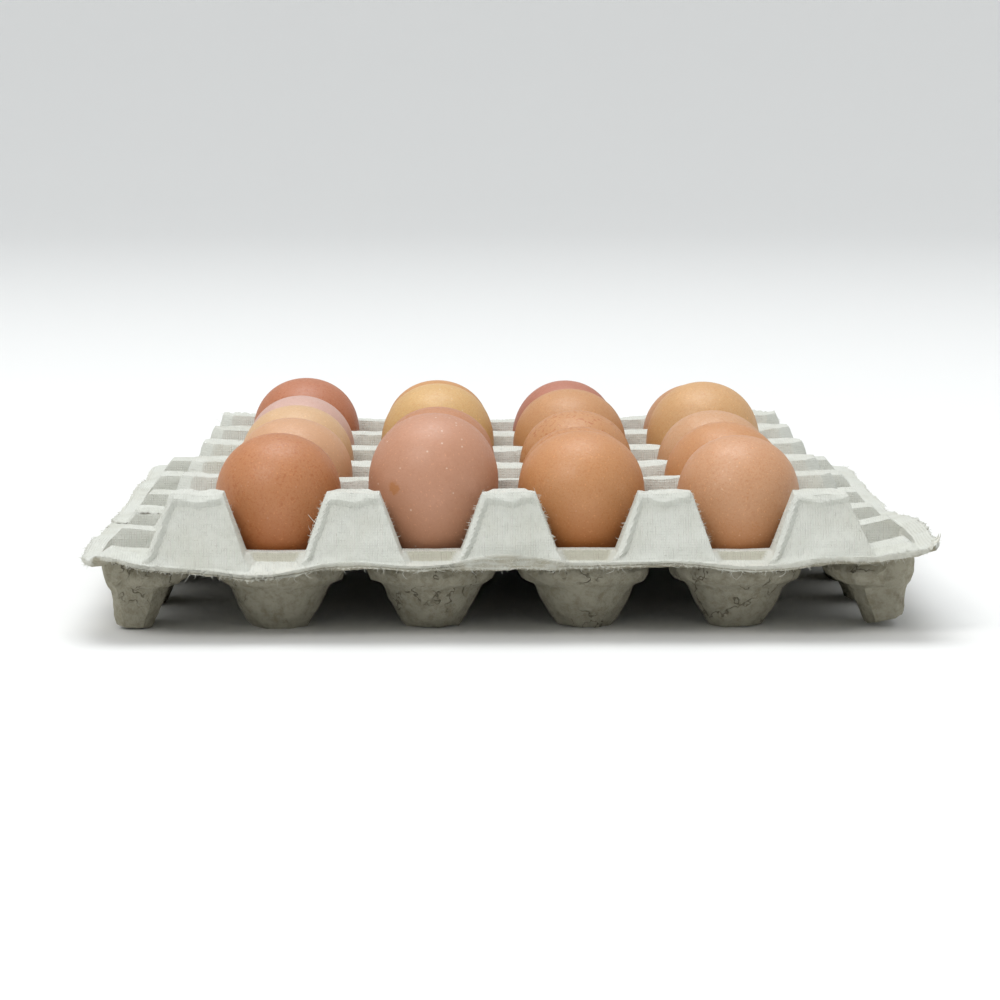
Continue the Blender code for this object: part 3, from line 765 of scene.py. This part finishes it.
def strand(points, faces, path, radii, sides=3):
    # a closed tapered tube along a path
    base = len(points)
    for k, (place, radius) in enumerate(zip(path, radii)):
        ahead = path[min(k + 1, len(path) - 1)] - path[max(k - 1, 0)]
        across = ahead.cross(Vector((0.31, 0.17, 0.93))).normalized()
        up = ahead.cross(across).normalized()
        for j in range(sides):
            angle = 2 * math.pi * j / sides
            points.append(place + across * math.cos(angle) * radius + up * math.sin(angle) * radius)
    for k in range(len(path) - 1):
        for j in range(sides):
            after = (j + 1) % sides
            low, high = base + k * sides, base + (k + 1) * sides
            faces.append((low + j, low + after, high + after, high + j))
    faces.append(tuple(base + j for j in reversed(range(sides))))
    faces.append(tuple(base + (len(path) - 1) * sides + j for j in range(sides)))


def fibreSeeds(mesh, chance):
    # places on the rim and on the sharp edges at the front, with the way out of the pulp
    count = len(mesh.vertices)
    places = np.empty(count * 3)
    mesh.vertices.foreach_get("co", places)
    places = places.reshape(-1, 3)
    normals = np.array([tuple(v.normal) for v in mesh.vertices])
    rimFace = np.empty(count)
    mesh.attributes["rimFace"].data.foreach_get("value", rimFace)
    rim = np.flatnonzero(rimFace > 0.5)
    front = rim[places[rim, 1] < -2.7 * pitch]
    x, y, z = places.T
    column = np.clip(np.round(x / pitch), -2, 2) * pitch
    half = (0.345 - 0.175 * (z - tray["rim"]) / (tray["postTop"] - tray["rim"])) * pitch
    outer = np.abs(y) > 2.48 * pitch
    flank = outer & (np.abs(np.abs(x - column) - half) < 0.0009) & (z > 0.0335)
    wall = outer & (np.abs(z - tray["rowRidge"]) < 0.0009) & (np.abs(x - column) > 0.31 * pitch) & (np.abs(x) < 1.7 * pitch)
    edges = np.flatnonzero(flank | wall)
    picked = [chance.choice(rim) for _ in range(fibres["onRim"])]
    picked += [chance.choice(front) for _ in range(fibres["onFrontRim"])]
    picked += [chance.choice(edges) for _ in range(fibres["onEdges"])]
    return [(Vector(places[i]), Vector(normals[i])) for i in picked]


def buildFibres():
    chance = random.Random(fibres["seed"])
    points, faces = [], []
    for place, normal in fibreSeeds(trayPiece.data, chance):
        span = fibres["longLength"] if chance.random() < fibres["longShare"] else fibres["length"]
        length = chance.uniform(*span)
        radius = chance.uniform(*fibres["radius"])
        turn = Vector((chance.gauss(0, 0.8), chance.gauss(0, 0.8), chance.gauss(0, 0.6)))
        heading = (normal + turn * 0.9).normalized()
        bend = Vector((chance.gauss(0, 1), chance.gauss(0, 1), chance.gauss(-0.4, 0.8))) * (0.5 + 0.5 * (length > 0.002))
        step = length / fibres["bends"]
        path = [place - normal * 0.0002]
        for _ in range(fibres["bends"]):
            path.append(path[-1] + heading * step)
            heading = (heading + bend * chance.uniform(0.2, 1.0)).normalized()
        if min(p.z for p in path) < 0.0002:
            continue
        strand(points, faces, path, [radius * (1 - 0.6 * k / fibres["bends"]) for k in range(len(path))])
    front = [v.co for v in trayPiece.data.vertices if v.co.y < -2.72 * pitch]
    for x, length in fibres["threads"]:
        start = min(front, key=lambda p: abs(p.x - x * pitch) + (p.z - 0.02) * 0.3)
        path = [start + Vector((0, 0.0004, 0.0002))]
        heading = Vector((chance.gauss(0, 0.5), -0.7, -0.5)).normalized()
        curl = Vector((chance.choice((-1, 1)) * 1.1, 0.3, chance.uniform(-0.2, 0.5)))
        for _ in range(9):
            path.append(path[-1] + heading * length / 9)
            heading = (heading + curl * 0.28 + Vector((0, 0, chance.gauss(-0.05, 0.1)))).normalized()
        strand(points, faces, path, [0.00011 - 0.000006 * k for k in range(10)])
    tree = BVHTree.FromPolygons([v.co for v in trayPiece.data.vertices],
                                [tuple(p.vertices) for p in trayPiece.data.polygons])
    for x, y, length, outward, forward in fibres["shreds"]:
        hit = tree.ray_cast(Vector((x * pitch * 0.995, y * pitch * 0.995, 0.08)), Vector((0, 0, -1)))[0]
        if hit is None:
            continue
        path = [hit - Vector((0.001 * outward, -0.001 * forward, 0.0006))]
        heading = Vector((outward, forward * 0.5, 0.35)).normalized()
        for k in range(6):
            path.append(path[-1] + heading * length / 6)
            heading = (heading + Vector((-0.08, 0.05, 0.22))).normalized()
        strand(points, faces, path, [0.0007, 0.0008, 0.00065, 0.0005, 0.00035, 0.0002, 0.0001], 5)
    mesh = bpy.data.meshes.new("loose_fibres")
    mesh.from_pydata(points, [], faces)
    mesh.shade_smooth()
    piece = bpy.data.objects.new("loose_fibres", mesh)
    bpy.context.scene.collection.objects.link(piece)
    made, nodes, shader = newMaterial("fibre")
    place = nodes.add("ShaderNodeTexCoord").outputs["Object"]
    tone = nodes.blend(nodes.span(nodes.noise(place, 300, 3), 0.35, 0.7), fibres["colour"], pulp["cloud"])
    nodes.put(shader.inputs["Base Color"], tone)
    shader.inputs["Roughness"].default_value = 0.9
    shader.inputs["Specular IOR Level"].default_value = 0.2
    mesh.materials.append(made)
    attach(piece, "root")
    print("fibres:", len(mesh.polygons), "faces")


buildFibres()


# ---------------------------------------------------------------- the eggs

# for each egg from left to right: width, length in millimetres, tilt to the right and to the back in degrees
eggs = {
    "skew": 0.19,
    "sides": 80,
    "rings": 56,
    "uneven": 0.00018,     # slow unevenness of the shells
    "sizes": (
        ((44.7, 57.0, 0.5, 1.0), (46.1, 61.8, 3.0, -1.0), (44.9, 54.0, -2.5, 1.5), (43.8, 57.0, 3.0, 1.0)),
        ((44.2, 54.5, 7.5, -1.5), (43.8, 58.0, -1.0, 1.0), (44.2, 55.5, -3.5, 1.0), (44.2, 54.8, 5.0, 2.0)),
        ((44.0, 57.0, 2.5, 2.0), (44.2, 55.0, 4.0, -2.0), (44.0, 55.0, 2.5, -1.0), (44.0, 56.0, 3.0, 1.0)),
        ((43.7, 58.0, 2.0, 1.5), (45.3, 61.0, 3.0, 1.0), (45.4, 57.8, -1.0, 2.0), (45.5, 61.0, 2.0, -1.0)),
        ((44.4, 58.0, 3.0, -1.0), (44.0, 57.5, -1.0, 1.5), (43.8, 61.0, 1.5, 1.0), (43.6, 56.5, -1.0, 1.0)),
    ),
    "speckled": {(2, 3): 1.0, (3, 3): 0.9, (1, 1): 0.45, (5, 1): 0.4},   # strength, where it isn't the usual
    "usualSpeckle": 0.22,
    "dotted": {(1, 2): 0.45, (1, 4): 0.15, (4, 2): 0.35, (3, 1): 0.3},      # pale dots of chalk
    "usualDots": 0.08,
    # spots on single shells: egg, place in widths and lengths from its middle, radius, colour
    "spots": (
        ((1, 2), (-0.285, -0.385, 0.100), 0.0025, (0.44, 0.17, 0.05)),
        ((4, 1), (0.02, -0.16, 0.465), 0.0006, (0.16, 0.09, 0.08)),
        ((3, 4), (0.05, -0.15, 0.470), 0.0007, (0.20, 0.10, 0.06)),
        ((4, 4), (-0.10, -0.36, 0.300), 0.0006, (0.28, 0.15, 0.08)),
        ((2, 1), (0.36, -0.22, 0.260), 0.0007, (0.30, 0.15, 0.09)),
    ),
    "lowShadeTint": (0.90, 0.62, 0.31),    # painted shade: the shell is painted darker and more saturated towards the pointed end, where it sits in the cup
    "freshTint": (0.99, 0.90, 0.70),
    "pinkTint": (1.0, 0.93, 0.86),
    "pinkish": ((1, 2), (2, 1), (3, 1), (4, 1), (5, 3)),    # these pale or pink shells get less of the painted shade at the pointed end
    "poreDepth": 0.00010,
}


def eggProfile(t):
    return math.sqrt(max(0.0, 1 - t * t)) * math.exp(eggs["skew"] * t)


def eggMesh(name, width, length, seed):
    skew = eggs["skew"]
    widest = (math.sqrt(1 + 4 * skew ** 2) - 1) / (2 * skew)
    scale = width / 2 / eggProfile(widest)
    sides, rings = eggs["sides"], eggs["rings"]
    work = bmesh.new()
    rows = []
    for k in range(1, rings):
        t = -math.cos(math.pi * k / rings)
        rows.append([work.verts.new((scale * eggProfile(t) * math.cos(2 * math.pi * j / sides),
                                     scale * eggProfile(t) * math.sin(2 * math.pi * j / sides),
                                     t * length / 2)) for j in range(sides)])
    low, high = work.verts.new((0, 0, -length / 2)), work.verts.new((0, 0, length / 2))
    for j in range(sides):
        after = (j + 1) % sides
        work.faces.new((low, rows[0][after], rows[0][j]))
        work.faces.new((rows[-1][j], rows[-1][after], high))
        for below, above in zip(rows, rows[1:]):
            work.faces.new((below[j], below[after], above[after], above[j]))
    shift = Vector((seed * 3.7, seed * 1.9, 0))
    for vert in work.verts:
        vert.co += vert.co.normalized() * noise.noise(vert.co / 0.022 + shift) * eggs["uneven"]
    mesh = bpy.data.meshes.new(name)
    work.to_mesh(mesh)
    work.free()
    mesh.shade_smooth()
    return mesh


def buildShellPigment():
    # an eggshell's colour: slow clouds, fine speckle, chalk dots, and painted shade: a darker tone towards the pointed
    # end
    group, nodes, given, out = newGroup(
        "shellPigment",
        [("Vector", "NodeSocketVector", None), ("Base", "NodeSocketColor", (0.5, 0.3, 0.2, 1)),
         ("DeepAndShade", "NodeSocketColor", (0.4, 0.2, 0.1, 1)), ("Length", "NodeSocketFloat", 0.057),
         ("Speckle", "NodeSocketFloat", 0.2), ("Dots", "NodeSocketFloat", 0.2)],
        [("Color", "NodeSocketColor"), ("Height", "NodeSocketFloat")])
    vector = given["Vector"]
    z = nodes.add("ShaderNodeSeparateXYZ", {"Vector": vector}).outputs[2]
    share = nodes.sum(z, given["Length"], "DIVIDE")
    # painted shade: the lower part of the shell blends towards the darker colour
    tone = nodes.blend(nodes.span(share, 0.18, -0.36), given["Base"], given["DeepAndShade"])
    cloud = nodes.noise(vector, 75, 4, 0.6)
    pale = nodes.blend(1.0, given["Base"], (1.16, 1.2, 1.28), "MULTIPLY")
    tone = nodes.blend(nodes.span(cloud, 0.50, 0.75, 0, 0.55), tone, pale)
    fine = nodes.noise(vector, 1700, 3, 0.6)
    tone = nodes.blend(nodes.span(fine, 0.48, 0.70, 0, 0.50), tone, given["DeepAndShade"])
    bright = nodes.noise(vector, 1250, 2, 0.5)
    tone = nodes.blend(nodes.span(bright, 0.60, 0.76, 0, 0.55), tone, nodes.blend(1.0, pale, (1.22, 1.18, 1.05), "MULTIPLY"))
    blots = nodes.noise(vector, 760, 3, 0.55)
    patches = nodes.span(nodes.noise(vector, 120, 3), 0.38, 0.6, 0.35, 1.0)
    blots = nodes.sum(nodes.span(blots, 0.53, 0.66), nodes.sum(given["Speckle"], patches, "MULTIPLY"), "MULTIPLY")
    tone = nodes.blend(blots, tone, nodes.blend(1.0, given["DeepAndShade"], (0.86, 0.74, 0.66), "MULTIPLY"))
    cells = nodes.add("ShaderNodeTexVoronoi", {"Vector": vector, "Scale": 420.0})
    chosen = nodes.add("ShaderNodeSeparateColor", {"Color": cells.outputs["Color"]}).outputs[0]
    dots = nodes.sum(nodes.span(cells.outputs["Distance"], 0.20, 0.10), nodes.span(chosen, 0.80, 0.84), "MULTIPLY")
    dots = nodes.sum(dots, given["Dots"], "MULTIPLY")
    tone = nodes.blend(dots, tone, (0.80, 0.68, 0.56))
    nodes.put(out["Color"], tone)
    pores = nodes.noise(vector, 1300, 3, 0.55)
    height = nodes.sum(nodes.sum(pores, nodes.sum(dots, 0.4, "MULTIPLY")), nodes.sum(cloud, 1.5, "MULTIPLY"))
    nodes.put(out["Height"], height)
    return group


def buildShellSpot():
    # a soft-edged round spot at one place
    group, nodes, given, out = newGroup(
        "shellSpot",
        [("Vector", "NodeSocketVector", None), ("Place", "NodeSocketVector", None),
         ("Radius", "NodeSocketFloat", 0.001)],
        [("Mask", "NodeSocketFloat")])
    gap = nodes.add("ShaderNodeVectorMath", {0: given["Vector"], 1: given["Place"]}, operation="DISTANCE")
    ragged = nodes.sum(nodes.noise(given["Vector"], 600, 2), 0.5, "SUBTRACT")
    far = nodes.sum(nodes.sum(gap.outputs["Value"], given["Radius"], "DIVIDE"), ragged)
    nodes.put(out["Mask"], nodes.span(far, 1.15, 0.7))
    return group


shellPigment = buildShellPigment()
shellSpot = buildShellSpot()


def shellMaterial(name, egg, colour, width, length):
    made, nodes, shader = newMaterial(name)
    place = nodes.add("ShaderNodeTexCoord").outputs["Object"]
    tint = eggs["pinkTint"] if egg in eggs["pinkish"] else eggs["freshTint"]
    base = tuple(c * t for c, t in zip(colour, tint))
    pigment = nodes.add("ShaderNodeGroup", node_tree=shellPigment)
    nodes.put(pigment.inputs["Vector"], place)
    pigment.inputs["Base"].default_value = (*base, 1)
    # the darker colour carries the painted shade at the pointed end and also serves the speckle
    share = 0.28 if egg in eggs["pinkish"] else 1.0
    pigment.inputs["DeepAndShade"].default_value = (*(c * (1 - share + share * t) for c, t in zip(base, eggs["lowShadeTint"])), 1)
    pigment.inputs["Length"].default_value = length
    pigment.inputs["Speckle"].default_value = eggs["speckled"].get(egg, eggs["usualSpeckle"])
    pigment.inputs["Dots"].default_value = eggs["dotted"].get(egg, eggs["usualDots"])
    tone = pigment.outputs["Color"]
    for owner, at, radius, spotColour in eggs["spots"]:
        if owner == egg:
            spot = nodes.add("ShaderNodeGroup", node_tree=shellSpot)
            nodes.put(spot.inputs["Vector"], place)
            spot.inputs["Place"].default_value = (at[0] * width, at[1] * width, at[2] * length)
            spot.inputs["Radius"].default_value = radius
            tone = nodes.blend(nodes.sum(spot.outputs["Mask"], 0.85, "MULTIPLY"), tone, spotColour)
    nodes.put(shader.inputs["Base Color"], tone)
    gloss = nodes.span(nodes.noise(place, 900, 3), 0.3, 0.7, 0.40, 0.55)
    nodes.put(shader.inputs["Roughness"], gloss)
    shader.inputs["Specular IOR Level"].default_value = 0.62
    bump = nodes.add("ShaderNodeBump", {"Height": pigment.outputs["Height"], "Strength": 1.0,
                                        "Distance": eggs["poreDepth"]})
    nodes.put(shader.inputs["Normal"], bump.outputs[0])
    return made


def buildEggs():
    colours = {entry["slot"]: entry["base_color"] for entry in frame["record"]["materials"]}
    for row, sizes in enumerate(eggs["sizes"], 1):
        for column, (width, length, right, back) in enumerate(sizes, 1):
            name = "egg_%d_%d" % (row, column)
            slot = "shell_%d_%d" % (row, column)
            low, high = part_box(name)
            mesh = eggMesh("shell_of_" + name, width / 1000, length / 1000, row * 4 + column)
            piece = bpy.data.objects.new("shell_of_" + name, mesh)
            bpy.context.scene.collection.objects.link(piece)
            turn = Euler((math.radians(-back), math.radians(right), 0))
            piece.matrix_world = Matrix.Translation((low + high) / 2) @ turn.to_matrix().to_4x4()
            colour = tuple(colours[slot][:3])
            mesh.materials.append(shellMaterial(slot, (row, column), colour, width / 1000, length / 1000))
            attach(piece, "root")
            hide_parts(name)
    print("eggs:", sum(len(sizes) for sizes in eggs["sizes"]))


buildEggs()
